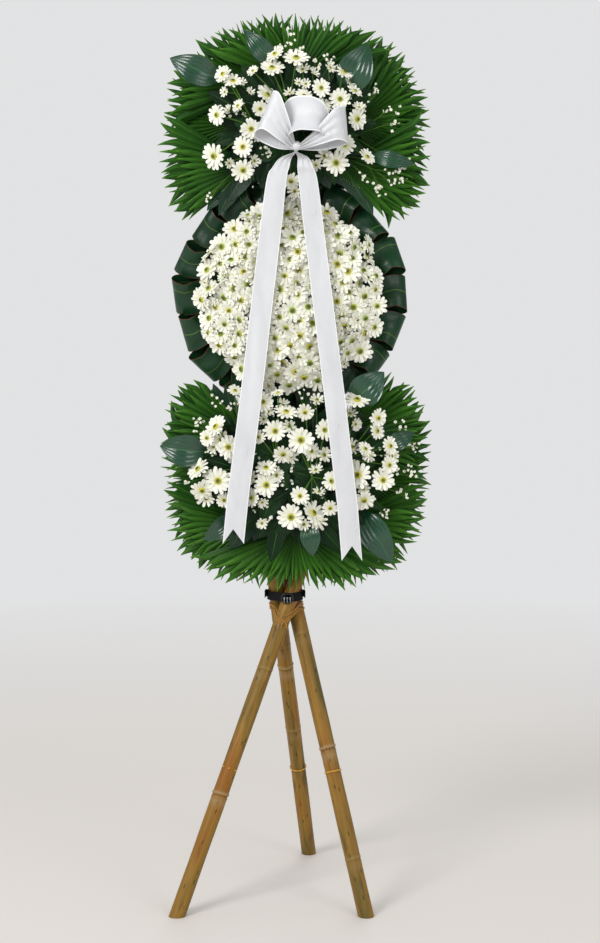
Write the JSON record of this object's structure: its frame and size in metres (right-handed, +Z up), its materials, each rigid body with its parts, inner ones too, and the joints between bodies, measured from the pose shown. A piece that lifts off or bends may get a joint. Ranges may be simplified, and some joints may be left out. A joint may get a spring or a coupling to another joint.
{
  "type": "funeral flower stand",
  "caption": "Standing funeral flower tribute: a daisy dome between two palm leaf panels with daisy sprays, a white ribbon bow and a lashed bamboo tripod.",
  "frame": {"origin": "centre of the bounding box's bottom face, on the floor", "axes": "+Z up, -Y towards the front where the ribbon hangs, +X to the right seen from the front"},
  "size_m": [0.5532, 0.4478, 1.7538],
  "materials": {
    "bamboo": "dry bamboo, satin skin",
    "cord": "waxed tan string",
    "webbing": "black webbing",
    "buckle": "black moulded",
    "mast": "dark painted pole",
    "foam": "wet flower foam",
    "palm_leaf": "pleated green leaf",
    "folded_leaf": "glossy dark leaf",
    "glossy_leaf": "glossy leaf",
    "daisy": "white petals, yellow eyes",
    "babys_breath": "tiny white heads",
    "ribbon": "white satin",
    "wood_pick": "raw wood"
  },
  "bodies": {
    "root": {"bamboo_leg_left": "bamboo", "bamboo_leg_right": "bamboo", "bamboo_leg_back": "bamboo", "leg_lashing": "cord", "leg_band_right": "cord", "leg_band_back": "cord", "mast_strap": "webbing", "strap_buckle": "buckle", "mast": "mast", "foam_upper": "foam", "foam_disc": "foam", "foam_lower": "foam", "palm_fan_upper_1": "palm_leaf", "palm_fan_upper_2": "palm_leaf", "palm_fan_upper_3": "palm_leaf", "palm_fan_upper_4": "palm_leaf", "palm_fan_upper_5": "palm_leaf", "palm_fan_upper_6": "palm_leaf", "palm_fan_upper_7": "palm_leaf", "palm_fan_lower_1": "palm_leaf", "palm_fan_lower_2": "palm_leaf", "palm_fan_lower_3": "palm_leaf", "palm_fan_lower_4": "palm_leaf", "palm_fan_lower_5": "palm_leaf", "palm_fan_lower_6": "palm_leaf", "palm_fan_lower_7": "palm_leaf", "folded_leaf_01": "folded_leaf", "folded_leaf_02": "folded_leaf", "folded_leaf_03": "folded_leaf", "folded_leaf_04": "folded_leaf", "folded_leaf_05": "folded_leaf", "folded_leaf_06": "folded_leaf", "folded_leaf_07": "folded_leaf", "folded_leaf_08": "folded_leaf", "folded_leaf_09": "folded_leaf", "folded_leaf_10": "folded_leaf", "folded_leaf_11": "folded_leaf", "folded_leaf_12": "folded_leaf", "folded_leaf_13": "folded_leaf", "folded_leaf_14": "folded_leaf", "folded_leaf_15": "folded_leaf", "folded_leaf_16": "folded_leaf", "folded_leaf_17": "folded_leaf", "folded_leaf_18": "folded_leaf", "daisy_dome": "daisy", "daisy_spray_upper_left": "daisy", "daisy_spray_upper_middle": "daisy", "daisy_spray_upper_right": "daisy", "daisy_spray_lower_left": "daisy", "daisy_spray_lower_middle": "daisy", "daisy_spray_lower_centre": "daisy", "daisy_spray_lower_right": "daisy", "babys_breath_upper": "babys_breath", "babys_breath_lower": "babys_breath", "glossy_leaf_upper": "glossy_leaf", "glossy_leaf_lower": "glossy_leaf", "ribbon_bow": "ribbon", "ribbon_tail_left": "ribbon", "ribbon_tail_right": "ribbon", "bow_pick": "wood_pick"}
  },
  "joints": []
}
